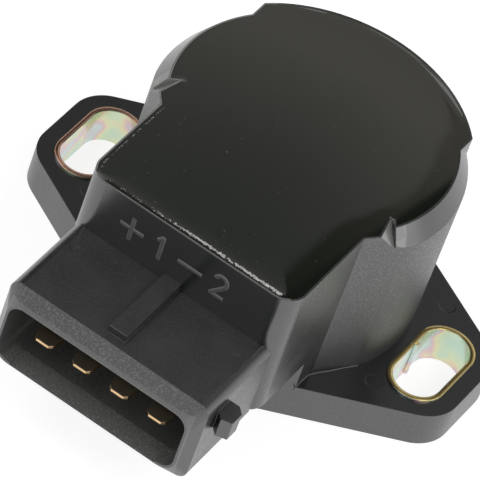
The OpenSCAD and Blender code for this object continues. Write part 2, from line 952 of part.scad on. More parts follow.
// A spring contact: a pad held by a stake, and fingers that rise to the track
module wiper(r) {
    rise = track_gap - axial_gap - wiper_t;
    finger_z = [0, 0, rise - wiper_t, rise, rise - finger_drop];
    count = len(finger_y);
    finger_w = (wiper_w - (wiper_fingers - 1) * finger_slit) / wiper_fingers;
    color(brass_color)
        translate([0, 0, disc_top]) {
            linear_extrude(wiper_t)
                difference() {
                    translate([r - wiper_w / 2, pad_y0])
                        square([wiper_w, pad_y1 - pad_y0]);
                    translate([r, stake_y])
                        circle(stake_r + running_gap, $fn = 24);
                }
            for (i = [0:wiper_fingers - 1])
                side_slab(r - wiper_w / 2 + finger_w / 2 + i * (finger_w + finger_slit), finger_w)
                    polygon(concat(
                        [for (k = [0:count - 1]) [finger_y[k], finger_z[k]]],
                        [for (k = [count - 1:-1:0]) [finger_y[k], finger_z[k] + wiper_t]]
                    ));
        }
}

module wiper_inner() {
    wiper(track_inner_r);
}

module wiper_outer() {
    wiper(track_outer_r);
}

// Wire swept along a helix, with both ends closed
module helix(r, z, pitch, turns, wire) {
    sides = 8;
    steps = 28;
    rings = turns * steps;
    points = [
        for (i = [0:rings], k = [0:sides - 1])
            let (
                a = i * 360 / steps,
                b = k * 360 / sides - 90,
                d = r + wire * cos(b)
            )
            [d * cos(a), d * sin(a), z + pitch * i / steps + wire * sin(b)]
    ];
    walls = [
        for (i = [0:rings - 1], k = [0:sides - 1])
            let (m = (k + 1) % sides)
            [i * sides + m, (i + 1) * sides + m, (i + 1) * sides + k, i * sides + k]
    ];
    ends = [
        [for (k = [sides - 1:-1:0]) k],
        [for (k = [0:sides - 1]) rings * sides + k]
    ];
    polyhedron(points, concat(walls, ends), convexity = 8);
}

// Torsion spring: its lower end stands in the housing's wall, its upper end in the rotor's disc
module return_spring() {
    color(steel_color)
        rotate(spring_side) {
            helix(spring_r, spring_z, spring_pitch, spring_turns, wire_r);
            translate([spring_r, 0, spring_z])
                rotate([0, 90, 0])
                    cylinder(r = wire_r, h = bore_r + board_step / 2 - spring_r, $fn = 24);
            translate([spring_r, 0, spring_top])
                cylinder(r = wire_r, h = disc_z + disc_t / 2 - spring_top, $fn = 24);
        }
}

module bearing_bush() {
    color(brass_color)
        ring(bearing_in_r, bearing_out_r, bearing_z, bearing_len);
}

module thrust_washer() {
    color("silver")
        ring(hub_r + 3 * running_gap, hub_r + 3 * running_gap + washer_w, boss_z, washer_t);
}

module shaft_seal() {
    color(rubber_color)
        ring(bearing_in_r, bearing_out_r, seal_z, shaft_seal_t);
}

module seal_retainer() {
    color(steel_color)
        ring(bearing_out_r - retainer_w, bearing_out_r, pilot_depth, retainer_t);
}

// Rubber ring that fills the floor of its groove and has a round lip towards the mating face
module flange_seal() {
    mid = groove_r + groove_w / 2;
    foot_w = groove_w - 2 * seat_gap;
    lip = foot_w / 3;
    color(rubber_color)
        rotate_extrude() {
            translate([mid - foot_w / 2, lip])
                square([foot_w, groove_depth - lip]);
            translate([mid, lip])
                circle(lip, $fn = 32);
        }
}

housing();
potting();
inner_cover();
resistor_board();
terminal_plus();
terminal_1();
terminal_minus();
terminal_2();
bond_leads();
left_bush();
right_bush();
rotor();
drive_clip();
wiper_inner();
wiper_outer();
return_spring();
bearing_bush();
thrust_washer();
shaft_seal();
seal_retainer();
flange_seal();
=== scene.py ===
import math

import bmesh
import bpy
import numpy as np
from mathutils import Matrix, Vector, geometry


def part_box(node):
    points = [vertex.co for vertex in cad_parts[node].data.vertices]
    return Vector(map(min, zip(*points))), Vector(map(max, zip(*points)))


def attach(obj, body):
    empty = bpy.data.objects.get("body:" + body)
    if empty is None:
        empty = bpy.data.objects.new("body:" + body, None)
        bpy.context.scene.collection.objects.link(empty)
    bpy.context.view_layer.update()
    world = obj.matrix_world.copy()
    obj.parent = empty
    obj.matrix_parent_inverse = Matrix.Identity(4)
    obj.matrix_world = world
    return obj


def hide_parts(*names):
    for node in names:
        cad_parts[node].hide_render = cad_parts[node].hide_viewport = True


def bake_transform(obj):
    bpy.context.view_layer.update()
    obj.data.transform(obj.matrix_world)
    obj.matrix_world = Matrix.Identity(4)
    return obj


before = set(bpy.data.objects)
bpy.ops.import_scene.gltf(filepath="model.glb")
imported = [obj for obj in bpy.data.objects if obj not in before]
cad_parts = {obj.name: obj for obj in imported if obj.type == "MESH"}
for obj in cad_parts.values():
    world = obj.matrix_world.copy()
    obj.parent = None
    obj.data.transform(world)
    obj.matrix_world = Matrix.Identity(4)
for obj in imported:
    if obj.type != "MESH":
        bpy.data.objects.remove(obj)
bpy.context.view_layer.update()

# Housing: flange, round body, neck and plug socket, one glass-filled nylon moulding.
# The tool was polished on the crown, the neck's front and the socket's top, and spark-eroded on the
# round wall, the slanted flats, the nose's bevel and the flange, which look grey and grainy for it.
MM = 0.001
FLANGE_TOP = 4.6
BODY_R, CROWN_Z = 18.4, 23.8
FLAT_START_X, FLAT_END_Y = 13.7, -6.7
NECK_FRONT_Y, NECK_BACK_Y = -25.9, -11.0
RIM_Z, RIM_FRONT_Y, RIM_LEFT_X = 26.1, -25.0, -13.0
NOSE_START_Y, LIP_Y = -38.1, -39.7
SOCKET_HALF_W, SOCKET_Z, LEAD_IN = 12.1, (8.5, 17.4), 1.4
NOTCH_X, NOTCH_Y = 15.3, -7.9
NOTCH_HIGHLIGHT_REACH, LEFT_NOTCH_LIGHT_REACH = 2.4, 4.2
EJECTOR_ON_TOP = (10.8, -29.5, 0.6)
EJECTOR_ON_FLANGE = (19.7, 8.2, 1.05)
SLOT_X, SLOT_HALF_W, SLOT_STRAIGHT = 23.1, 3.5, 3.1
PITS_PER_MM, SKIN_DEPTH, EDGE_R = 5.0, 0.05, 0.14
NYLON_BLACK = (0.0105, 0.0121, 0.0115, 1)
NYLON_GREY = (0.125, 0.128, 0.124, 1)
NYLON_SOCKET_PAINTED_LIGHT = (0.115, 0.118, 0.115, 1)
# Pale grey for painted light and painted highlights on the nylon.
NYLON_PAINTED_LIGHT = (0.26, 0.26, 0.25, 1)
GAP_SHADOW = (0.002, 0.002, 0.002, 1)


def add(tree, kind, **settings):
    """A shader or geometry node with its settings."""
    made = tree.nodes.new(kind)
    for key, value in settings.items():
        setattr(made, key, value)
    return made


def feed(tree, socket, source):
    """Links a socket to an output, or sets it to a constant."""
    if isinstance(source, bpy.types.NodeSocket):
        tree.links.new(source, socket)
    else:
        socket.default_value = source


def calc(tree, operation, *terms, clamp=False):
    """What one Math node gives."""
    made = add(tree, "ShaderNodeMath", operation=operation, use_clamp=clamp)
    for socket, term in zip(made.inputs, terms):
        feed(tree, socket, term)
    return made.outputs[0]


def between(tree, value, low, high):
    """A soft step from 0 at low to 1 at high."""
    made = add(tree, "ShaderNodeMapRange", interpolation_type="SMOOTHSTEP")
    feed(tree, made.inputs["Value"], value)
    made.inputs["From Min"].default_value = low
    made.inputs["From Max"].default_value = high
    if low > high:
        made.inputs["From Min"].default_value = high
        made.inputs["From Max"].default_value = low
        made.inputs["To Min"].default_value = 1
        made.inputs["To Max"].default_value = 0
    return made.outputs["Result"]


def blend(tree, kind, mask, first, second):
    """first where the mask is 0, second where it is 1; kind is Color, Float or Vector."""
    made = add(tree, "ShaderNodeMix", data_type="RGBA" if kind == "Color" else kind.upper())
    sockets = {s.identifier: s for s in [*made.inputs, *made.outputs]}
    feed(tree, sockets["Factor_Float"], mask)
    feed(tree, sockets["A_" + kind], first)
    feed(tree, sockets["B_" + kind], second)
    return sockets["Result_" + kind]


def blend_colors(tree, mask, first, second):
    return blend(tree, "Color", mask, first, second)


def blend_values(tree, mask, first, second):
    return blend(tree, "Float", mask, first, second)


def noise_at(tree, place, scale, detail=2.0):
    """Cloudy noise from 0 to 1; scale is in clouds for each mm."""
    made = add(tree, "ShaderNodeTexNoise")
    feed(tree, made.inputs["Vector"], place)
    feed(tree, made.inputs["Scale"], scale)
    made.inputs["Detail"].default_value = detail
    return made.outputs["Fac"]


def in_mm(tree, place):
    """A place in millimetres, as one vector and as x, y and z."""
    scaled = add(tree, "ShaderNodeVectorMath", operation="SCALE")
    feed(tree, scaled.inputs[0], place)
    scaled.inputs["Scale"].default_value = 1 / MM
    parts = add(tree, "ShaderNodeSeparateXYZ")
    feed(tree, parts.inputs[0], scaled.outputs[0])
    return scaled.outputs[0], *parts.outputs


def place_in_mm(tree):
    """Object coordinates in millimetres."""
    return in_mm(tree, add(tree, "ShaderNodeTexCoord").outputs["Object"])


def facing(tree, normal="Normal"):
    """Which way the surface looks, as x, y and z."""
    parts = add(tree, "ShaderNodeSeparateXYZ")
    feed(tree, parts.inputs[0], add(tree, "ShaderNodeNewGeometry").outputs[normal])
    return parts.outputs


def shader_group(name, inputs, outputs):
    """An empty node group with named sockets, and its input and output nodes."""
    group = bpy.data.node_groups.new(name, "ShaderNodeTree")
    for label, kind, value in inputs:
        socket = group.interface.new_socket(label, in_out="INPUT", socket_type=kind)
        if value is not None:
            socket.default_value = value
    for label in outputs:
        group.interface.new_socket(label, in_out="OUTPUT", socket_type="NodeSocketFloat")
    return group, add(group, "NodeGroupInput"), add(group, "NodeGroupOutput")


def make_spark_grain():
    """Spark-eroded skin: rounded pits of one size, with single bright crests."""
    group, given, result = shader_group(
        "spark_grain",
        [("Place", "NodeSocketVector", None), ("Pits per mm", "NodeSocketFloat", 4.0)],
        ["Height", "Crests"],
    )
    pits = noise_at(group, given.outputs["Place"], given.outputs["Pits per mm"], 1.5)
    finer = calc(group, "MULTIPLY", given.outputs["Pits per mm"], 2.7)
    fine = noise_at(group, given.outputs["Place"], finer, 0)
    height = calc(group, "ADD", pits, calc(group, "MULTIPLY", fine, 0.4))
    feed(group, result.inputs["Height"], height)
    feed(group, result.inputs["Crests"], between(group, height, 0.72, 0.9))
    return group


def make_handling():
    """What handling leaves on a moulding: faint cloudy wipes and a few fine specks."""
    group, given, result = shader_group(
        "handling", [("Place", "NodeSocketVector", None)], ["Wipes", "Specks"]
    )
    wipes = noise_at(group, given.outputs["Place"], 0.22, 5.0)
    specks = noise_at(group, given.outputs["Place"], 3.1, 0)
    feed(group, result.inputs["Wipes"], between(group, wipes, 0.35, 0.7))
    feed(group, result.inputs["Specks"], between(group, specks, 0.79, 0.83))
    return group


spark_grain = make_spark_grain()
handling = make_handling()


def use_group(tree, group, **given):
    """Places a group; a space in a socket's name is written as an underscore here."""
    made = add(tree, "ShaderNodeGroup", node_tree=group)
    for label, value in given.items():
        feed(tree, made.inputs[label.replace("_", " ")], value)
    return made.outputs


def new_material(name):
    """An empty material with its tree and its Principled shader."""
    material = bpy.data.materials.new(name)
    material.use_nodes = True
    tree = material.node_tree
    return material, tree, tree.nodes["Principled BSDF"]


def rounded_edges(tree, edge_mm):
    """The normal of the same shape with its edges rounded off."""
    made = add(tree, "ShaderNodeBevel", samples=6)
    made.inputs["Radius"].default_value = edge_mm * MM
    return made.outputs[0]


def bump(tree, height, depth_mm, edge_mm=None, over=None):
    """A Bump node of a real depth, over edges rounded by edge_mm or over another normal."""
    made = add(tree, "ShaderNodeBump")
    made.inputs["Strength"].default_value = 1
    made.inputs["Distance"].default_value = depth_mm * MM
    feed(tree, made.inputs["Height"], height)
    if edge_mm:
        over = rounded_edges(tree, edge_mm)
    if over:
        feed(tree, made.inputs["Normal"], over)
    return made.outputs[0]


def dress(node, material):
    """Gives a CAD node one material on every slot."""
    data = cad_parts[node].data
    if not data.materials:
        data.materials.append(material)
    for i in range(len(data.materials)):
        data.materials[i] = material


def all_of(tree, *masks):
    """The part where every mask holds."""
    whole = masks[0]
    for mask in masks[1:]:
        whole = calc(tree, "MULTIPLY", whole, mask)
    return whole


def strongest(tree, *masks):
    """The highest of several masks."""
    whole = masks[0]
    for mask in masks[1:]:
        whole = calc(tree, "MAXIMUM", whole, mask)
    return whole


def faded(tree, mask, share):
    """A mask at a share of its strength."""
    return calc(tree, "MULTIPLY", mask, share)


def distance_to(tree, x, y, at_x, at_y):
    """Distance in plan from (x, y) to one place."""
    offset = add(tree, "ShaderNodeCombineXYZ")
    feed(tree, offset.inputs["X"], calc(tree, "SUBTRACT", x, at_x))
    feed(tree, offset.inputs["Y"], calc(tree, "SUBTRACT", y, at_y))
    reach = add(tree, "ShaderNodeVectorMath", operation="LENGTH")
    feed(tree, reach.inputs[0], offset.outputs[0])
    return reach.outputs["Value"]


def distance_to_slot(tree, x, y):
    """Distance in plan to the middle line of the nearer screw slot."""
    along = calc(tree, "MAXIMUM", calc(tree, "ABSOLUTE", y), SLOT_STRAIGHT)
    return distance_to(tree, calc(tree, "ABSOLUTE", x), along, SLOT_X, SLOT_STRAIGHT)


def ejector_marks(tree, x, y, level):
    """1 inside the shallow round prints of the tool's ejector pins."""
    across = calc(tree, "ABSOLUTE", x)
    along = calc(tree, "ABSOLUTE", calc(tree, "SUBTRACT", y, 1.0))
    at_x, at_y, r = EJECTOR_ON_TOP
    on_top = between(tree, distance_to(tree, across, y, at_x, at_y), r, r - 0.3)
    at_x, at_y, r = EJECTOR_ON_FLANGE
    on_flange = between(tree, distance_to(tree, across, along, at_x, at_y), r, r - 0.12)
    return all_of(tree, level, strongest(tree, on_top, faded(tree, on_flange, 0.4)))


def gap_round_bush(tree, x, y, level):
    """1 in the painted shadow: the narrow dark line between a bush and the plastic round it."""
    from_slot = distance_to_slot(tree, x, y)
    return all_of(tree, between(tree, from_slot, SLOT_HALF_W + 0.3, SLOT_HALF_W + 0.1), level)


def moulded_nylon():
    """Black where the tool was polished, grey and pitted where it was eroded, with painted light in pale grey
    in a few places.
    """
    material, tree, shader = new_material("moulded_nylon")
    place, x, y, z = place_in_mm(tree)
    facing_x, facing_y, up = facing(tree, "True Normal")
    sideways, endways, off_middle = (calc(tree, "ABSOLUTE", value) for value in (facing_x, facing_y, x))
    radius = distance_to(tree, x, y, 0, 0)

    # The moulding's parts, each 1 inside and 0 outside.
    level = between(tree, up, 0.85, 0.95)
    upright = between(tree, up, 0.5, 0.3)
    behind_neck = between(tree, y, NECK_BACK_Y - 0.1, NECK_BACK_Y)
    above_flange = between(tree, z, FLANGE_TOP, FLANGE_TOP + 0.1)
    in_nose = between(tree, y, NOSE_START_Y + 0.05, NOSE_START_Y - 0.05)
    nose_side = all_of(tree, in_nose, between(tree, sideways, 0.7, 0.5))
    bevel = all_of(tree, in_nose, between(tree, up, 0.45, 0.6), between(tree, sideways, 0.3, 0.2))
    round_wall = all_of(
        tree, between(tree, radius, BODY_R - 0.3, BODY_R - 0.1), above_flange,
        between(tree, z, CROWN_Z + 0.05, CROWN_Z - 0.05), behind_neck, upright)
    slanted_flat = all_of(
        tree, between(tree, off_middle, FLAT_START_X, FLAT_START_X + 0.1), above_flange, behind_neck,
        between(tree, y, FLAT_END_Y, FLAT_END_Y - 0.2), upright)
    flange_side = all_of(tree, between(tree, z, FLANGE_TOP, FLANGE_TOP - 0.1), upright)
    neck_side = all_of(
        tree, between(tree, sideways, 0.85, 0.95), between(tree, y, NECK_BACK_Y, NECK_BACK_Y - 0.1))
    socket_top = all_of(tree, level, between(tree, y, NECK_FRONT_Y, NECK_FRONT_Y - 0.1))
    in_socket = all_of(
        tree, between(tree, off_middle, SOCKET_HALF_W + 0.1, SOCKET_HALF_W),
        between(tree, z, SOCKET_Z[0] - 0.1, SOCKET_Z[0]), between(tree, z, SOCKET_Z[1] + 0.1, SOCKET_Z[1]),
        between(tree, y, LIP_Y, LIP_Y + 0.05), between(tree, y, NECK_FRONT_Y - 1, NECK_FRONT_Y - 2))
    lead_in = all_of(
        tree, in_socket, level, between(tree, y, NOSE_START_Y + LEAD_IN, NOSE_START_Y + LEAD_IN - 0.2))

    # Painted light in pale grey: a painted highlight on the facets beside the notches and along the rim's left
    # and front edges, and painted light on the left notch's shaded wall.
    from_notch = distance_to(tree, off_middle, y, NOTCH_X, NOTCH_Y)
    # Painted highlight on the facets beside the notches, picked by which way they face.
    notch_painted_highlight = all_of(
        tree, between(tree, up, 0.5, 0.58), between(tree, up, 0.85, 0.75), between(tree, endways, 0.4, 0.3),
        between(tree, from_notch, NOTCH_HIGHLIGHT_REACH, NOTCH_HIGHLIGHT_REACH - 0.2))
    front_rim = between(tree, y, RIM_FRONT_Y, RIM_FRONT_Y - 0.3)
    left_rim = between(tree, x, RIM_LEFT_X, RIM_LEFT_X - 0.3)
    # Painted highlight along the rim's left and front edges, stronger on the left.
    rim = all_of(
        tree, level, between(tree, z, RIM_Z - 0.05, RIM_Z + 0.05),
        strongest(tree, faded(tree, front_rim, 0.5), left_rim))
    from_left_notch = distance_to(tree, x, y, -NOTCH_X, NOTCH_Y)
    # Painted light on the left notch's wall, which lies in shade.
    left_notch_painted_light = all_of(
        tree, between(tree, from_left_notch, LEFT_NOTCH_LIGHT_REACH, LEFT_NOTCH_LIGHT_REACH - 0.4), between(tree, z, 21.5, 22.0),
        between(tree, facing_x, 0.3, 0.4), upright)

    # Grain, from polished at 0 to fully eroded at 1.
    coarse = strongest(
        tree, bevel, lead_in, faded(tree, nose_side, 0.5), faded(tree, round_wall, 0.7),
        faded(tree, slanted_flat, 0.7), faded(tree, neck_side, 0.35), faded(tree, socket_top, 0.2),
        faded(tree, flange_side, 0.3))
    grain = use_group(tree, spark_grain, Place=place, Pits_per_mm=PITS_PER_MM)
    hands = use_group(tree, handling, Place=place)

    # Grey from the grain, more towards the right; on the walls, painted shade towards the foot and painted
    # light towards the top; then specks, dust, painted light on the lead-in and a painted highlight on the
    # nose's edges.
    greyer_to_right = blend_values(tree, between(tree, x, -14, 8), 0.12, 0.22)
    # Painted shade and light on the walls: darker towards the foot, lighter towards the top.
    by_height = blend_values(tree, between(tree, z, 5, 21), 0.4, 1.6)
    wall_painted_shade_and_light = blend_values(tree, strongest(tree, round_wall, slanted_flat), 1.0, by_height)
    tint = calc(tree, "MULTIPLY", coarse, calc(tree, "ADD", greyer_to_right, grain["Crests"]))
    tint = calc(tree, "MULTIPLY", tint, wall_painted_shade_and_light, clamp=True)
    tint = calc(tree, "ADD", tint, faded(tree, hands["Specks"], 0.2), clamp=True)
    dust = all_of(tree, socket_top, calc(tree, "ADD", 0.06, faded(tree, hands["Wipes"], 0.08)))
    # Painted light on the lead-in, added to the socket top's dust.
    dust = calc(tree, "ADD", dust, faded(tree, lead_in, 0.3))
    tint = calc(tree, "ADD", tint, dust, clamp=True)
    sharp_normal = add(tree, "ShaderNodeNewGeometry").outputs["Normal"]
    soft_normal = rounded_edges(tree, EDGE_R)
    turned = add(tree, "ShaderNodeVectorMath", operation="DOT_PRODUCT")
    feed(tree, turned.inputs[0], soft_normal)
    feed(tree, turned.inputs[1], sharp_normal)
    # Painted highlight on the nose's rounded edges.
    nose_edge_highlight = all_of(tree, between(tree, turned.outputs["Value"], 0.995, 0.9), in_nose)
    tint = calc(tree, "ADD", tint, faded(tree, nose_edge_highlight, 0.7), clamp=True)

    color = blend_colors(tree, tint, NYLON_BLACK, NYLON_GREY)
    # Painted light: the socket's inside, which lies in shade, is made a lighter grey.
    color = blend_colors(tree, faded(tree, in_socket, 0.85), color, NYLON_SOCKET_PAINTED_LIGHT)
    # Painted light: the lead-in's grain crests are made pale, standing in for light reaching into the socket's
    # mouth.
    color = blend_colors(tree, all_of(tree, lead_in, grain["Crests"]), color, NYLON_PAINTED_LIGHT)
    color = blend_colors(tree, strongest(tree, notch_painted_highlight, rim, left_notch_painted_light), color, NYLON_PAINTED_LIGHT)
    color = blend_colors(tree, gap_round_bush(tree, x, y, level), color, GAP_SHADOW)
    feed(tree, shader.inputs["Base Color"], color)
    sheen = blend_values(tree, hands["Wipes"], 0.2, 0.28)
    sparkle = blend_values(tree, grain["Crests"], 0.58, 0.32)
    feed(tree, shader.inputs["Roughness"], blend_values(tree, coarse, sheen, sparkle))
    shader.inputs["IOR"].default_value = 1.65
    shader.inputs["Specular IOR Level"].default_value = 1.0

    # Relief: pits and ejector prints over softened edges, which stay sharp at the foot of a wall.
    height = calc(tree, "MULTIPLY", grain["Height"], calc(tree, "ADD", 0.03, coarse))
    height = calc(tree, "SUBTRACT", height, ejector_marks(tree, x, y, level))
    neck_foot = all_of(
        tree, between(tree, y, NECK_FRONT_Y - 0.3, NECK_FRONT_Y - 0.2),
        between(tree, y, NECK_FRONT_Y + 0.3, NECK_FRONT_Y + 0.2), between(tree, z, 20.5, 20.0))
    wall_foot = all_of(
        tree, between(tree, radius, BODY_R + 0.5, BODY_R + 0.3),
        between(tree, z, FLANGE_TOP - 0.1, FLANGE_TOP), between(tree, z, FLANGE_TOP + 0.5, FLANGE_TOP + 0.3))
    edges = blend(tree, "Vector", strongest(tree, neck_foot, wall_foot), soft_normal, sharp_normal)
    feed(tree, shader.inputs["Normal"], bump(tree, height, SKIN_DEPTH, over=edges))
    return material


nylon = moulded_nylon()
dress("housing", nylon)

# Pin marks: "+", "1", "-" and "2", thin raised strokes of the same nylon on the neck's front wall.
# They are cut into the tool by hand, so their backs are round and their ends rounded off.
STROKE_W, STROKE_H, STROKE_STEP = 0.55, 0.13, 0.07
MARK_GREY = (0.11, 0.112, 0.11, 1)
MARK_PALE = (0.21, 0.21, 0.205, 1)


def arc(cx, cz, r, start, end, steps=14):
    """Points on an arc in the wall's plane, angles in degrees."""
    angles = [math.radians(start + (end - start) * i / steps) for i in range(steps + 1)]
    return [(cx + r * math.cos(a), cz + r * math.sin(a)) for a in angles]


MARK_STROKES = [
    [(-8.15, 22.55), (-5.05, 22.55)],
    [(-6.65, 20.95), (-6.65, 24.15)],
    [(-3.35, 23.45), (-2.75, 24.1), (-2.7, 20.95)],
    [(-0.45, 22.5), (2.75, 22.5)],
    arc(5.05, 23.35, 0.78, 165, -40) + [(4.2, 21.2), (5.95, 21.2)],
]


def geometry_tree(name, inputs):
    """An empty Geometry Nodes tree with its named inputs."""
    tree = bpy.data.node_groups.new(name, "GeometryNodeTree")
    tree.interface.new_socket("Geometry", in_out="INPUT", socket_type="NodeSocketGeometry")
    for label, kind in inputs:
        tree.interface.new_socket(label, in_out="INPUT", socket_type=kind)
    tree.interface.new_socket("Geometry", in_out="OUTPUT", socket_type="NodeSocketGeometry")
    return tree, add(tree, "NodeGroupInput"), add(tree, "NodeGroupOutput")


def end_tree(tree, result, geometry_out, material):
    """Realize Instances and Set Material, which close every tree."""
    real = add(tree, "GeometryNodeRealizeInstances")
    painted = add(tree, "GeometryNodeSetMaterial")
    painted.inputs["Material"].default_value = material
    feed(tree, real.inputs[0], geometry_out)
    feed(tree, painted.inputs["Geometry"], real.outputs[0])
    feed(tree, result.inputs[0], painted.outputs[0])


def grown(name, start_mesh, tree, **sizes):
    """The plain mesh that a tree makes of start_mesh, as an object at the origin."""
    piece = bpy.data.objects.new(name, start_mesh)
    bpy.context.scene.collection.objects.link(piece)
    modifier = piece.modifiers.new("grow", "NODES")
    modifier.node_group = tree
    for item in tree.interface.items_tree:
        if item.in_out == "INPUT" and item.name in sizes:
            modifier[item.identifier] = sizes[item.name]
    graph = bpy.context.evaluated_depsgraph_get()
    finished = bpy.data.meshes.new_from_object(piece.evaluated_get(graph))
    piece.modifiers.remove(modifier)
    piece.data = finished
    finished.name = name
    return piece


def lines_mesh(name, strokes):
    """A mesh of edges only, one chain for each stroke of 3-D points in mm."""
    points, edges = [], []
    for stroke in strokes:
        first = len(points)
        points += [Vector(p) * MM for p in stroke]
        edges += [(first + i, first + i + 1) for i in range(len(stroke) - 1)]
    mesh = bpy.data.meshes.new(name)
    mesh.from_pydata(points, edges, [])
    return mesh


def make_stroke_tree(name, material):
    """Sweeps a round section along each chain and rounds it off at both ends."""
    tree, given, result = geometry_tree(name, [("Radius", "NodeSocketFloat"), ("Step", "NodeSocketFloat")])
    chain = add(tree, "GeometryNodeMeshToCurve")
    feed(tree, chain.inputs["Mesh"], given.outputs["Geometry"])
    fine = add(tree, "GeometryNodeResampleCurve", mode="LENGTH")
    feed(tree, fine.inputs["Curve"], chain.outputs["Curve"])
    feed(tree, fine.inputs["Length"], given.outputs["Step"])
    along = add(tree, "GeometryNodeSplineParameter").outputs["Length"]
    whole = add(tree, "GeometryNodeSplineLength").outputs["Length"]
    near_end = calc(tree, "MINIMUM", along, calc(tree, "SUBTRACT", whole, along))
    inside = calc(tree, "DIVIDE", near_end, given.outputs["Radius"], clamp=True)
    gap = calc(tree, "SUBTRACT", 1.0, inside)
    # A hair over 1, so that the last ring still has a width for its cap.
    round_end = calc(tree, "SQRT", calc(tree, "SUBTRACT", 1.0002, calc(tree, "MULTIPLY", gap, gap)))
    sized = add(tree, "GeometryNodeSetCurveRadius")
    feed(tree, sized.inputs["Curve"], fine.outputs["Curve"])
    feed(tree, sized.inputs["Radius"], round_end)
    section = add(tree, "GeometryNodeCurvePrimitiveCircle")
    section.inputs["Resolution"].default_value = 12
    feed(tree, section.inputs["Radius"], given.outputs["Radius"])
    swept = add(tree, "GeometryNodeCurveToMesh")
    feed(tree, swept.inputs["Curve"], sized.outputs["Curve"])
    feed(tree, swept.inputs["Profile Curve"], section.outputs["Curve"])
    swept.inputs["Fill Caps"].default_value = True
    end_tree(tree, result, swept.outputs["Mesh"], material)
    return tree


def mark_plastic():
    """The marks are a lighter grey than the wall round them, darker where they face straight out."""
    material, tree, shader = new_material("mark_plastic")
    patches = noise_at(tree, place_in_mm(tree)[0], 2.2, 3.0)
    crest = between(tree, calc(tree, "ABSOLUTE", facing(tree)["Y"]), 0.82, 0.97)
    flank = blend_colors(tree, patches, MARK_GREY, MARK_PALE)
    feed(tree, shader.inputs["Base Color"], blend_colors(tree, faded(tree, crest, 0.4), flank, NYLON_BLACK))
    feed(tree, shader.inputs["Roughness"], blend_values(tree, patches, 0.4, 0.6))
    return material


def flatten(piece, wall_y, height, radius):
    """Presses swept strokes flat against the wall, so that they stand height proud."""
    for v in piece.data.vertices:
        v.co.y = (wall_y + (v.co.y / MM - wall_y) * height / radius) * MM


stroke_growth = make_stroke_tree("raised_strokes", mark_plastic())
mark_lines = lines_mesh("pin_marks", [[(x, NECK_FRONT_Y, z) for x, z in stroke] for stroke in MARK_STROKES])
pin_marks = grown("pin_marks", mark_lines, stroke_growth, Radius=STROKE_W / 2 * MM, Step=STROKE_STEP * MM)
flatten(pin_marks, NECK_FRONT_Y, STROKE_H, STROKE_W / 2)
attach(pin_marks, "stator")

# Flash lines: thin raised lines on the flange along the foot of the neck and of the slanted flat.
# The plastic crept between two parts of the tool there, and its edge has gone pale.
FLASH_R, FLASH_STEP = 0.07, 0.1
FLASH_NECK = [(13.8, -15.2), (13.76, -13.6), (13.82, -12.0), (14.3, -11.1)]
FLASH_FLAT = [(14.3, -11.1), (15.2, -9.7), (16.2, -7.95), (17.1, -6.55)]
flash_paths = lines_mesh("flash_lines", [[(x, y, FLANGE_TOP) for x, y in p] for p in (FLASH_NECK, FLASH_FLAT)])
flash_lines = grown("flash_lines", flash_paths, stroke_growth, Radius=FLASH_R * MM, Step=FLASH_STEP * MM)
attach(flash_lines, "stator")

# Resin: two-part casting resin poured level over the inner cover and left to set.
# It creeps up the walls as a meniscus, so its mirror-like top bends over the last few millimetres.
RESIN_LEVEL = 25.68
CREEP_H, CREEP_REACH = 0.45, 2.8
WET_Z, WET_REACH = 26.17, 0.3
ROUND_R, BACK_R, BACK_HALF_W, NECK_HALF_W = 16.65, 18.2, 14.05, 13.55
CORNER_SOFTNESS = 0.8
RESIN_DEEP = (0.0114, 0.0150, 0.0102, 1)
RESIN_LIGHTER = (0.066, 0.064, 0.054, 1)
RESIN_DUST = (0.09, 0.095, 0.088, 1)
LIGHTER_START_Y, LIGHTER_LENGTH = -22, 35
LIGHTER_EDGE_LEAN, LIGHTER_EDGE_END = 0.146, 15.25
RIM_STEP, RESIN_STEP = 0.25, 0.36
SKIN_STEPS = (0.1, 0.25, 0.45)
STEP_Z = 25.7
SAME_PLACE = 1e-6


def face_outline(node, pick):
    """The corner points of a CAD node's highest (max) or lowest (min) face in order, in mm."""
    bm = bmesh.new()
    bm.from_mesh(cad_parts[node].data)
    bmesh.ops.remove_doubles(bm, verts=bm.verts, dist=SAME_PLACE)
    level = pick(v.co.z for v in bm.verts)
    flat = [f for f in bm.faces if all(abs(v.co.z - level) < SAME_PLACE for v in f.verts)]
    uses = {}
    for f in flat:
        for e in f.edges:
            uses[e] = uses.get(e, 0) + 1
    rim = [e for e, n in uses.items() if n == 1]
    start = rim[0]
    loop, here, last = [], start.verts[0], None
    while True:
        loop.append((here.co.x / MM, here.co.y / MM))
        e = next(e for e in here.link_edges if e in rim and e is not last)
        here, last = e.other_vert(here), e
        if here == start.verts[0]:
            break
    bm.free()
    return np.array(loop)


def split_loop(loop, step):
    """The same loop with points no further apart than step."""
    points = []
    for a, b in zip(loop, np.roll(loop, -1, 0)):
        count = max(1, int(math.ceil(np.linalg.norm(b - a) / step)))
        points += [a + (b - a) * i / count for i in range(count)]
    return np.array(points)


def depth_inside(points, loop):
    """Distance from each point to the loop, negative outside it."""
    a, b = loop, np.roll(loop, -1, 0)
    near = np.full(len(points), 1e9)
    crossings = np.zeros(len(points), int)
    for p, q in zip(a, b):
        d = q - p
        t = np.clip(((points - p) @ d) / (d @ d), 0, 1)
        near = np.minimum(near, np.linalg.norm(points - p - t[:, None] * d, axis=1))
        if p[1] != q[1]:
            above = (points[:, 1] >= min(p[1], q[1])) & (points[:, 1] < max(p[1], q[1]))
            cut = p[0] + (points[:, 1] - p[1]) * d[0] / d[1]
            crossings += above & (points[:, 0] < cut)
    return np.where(crossings % 2 == 1, near, -near)


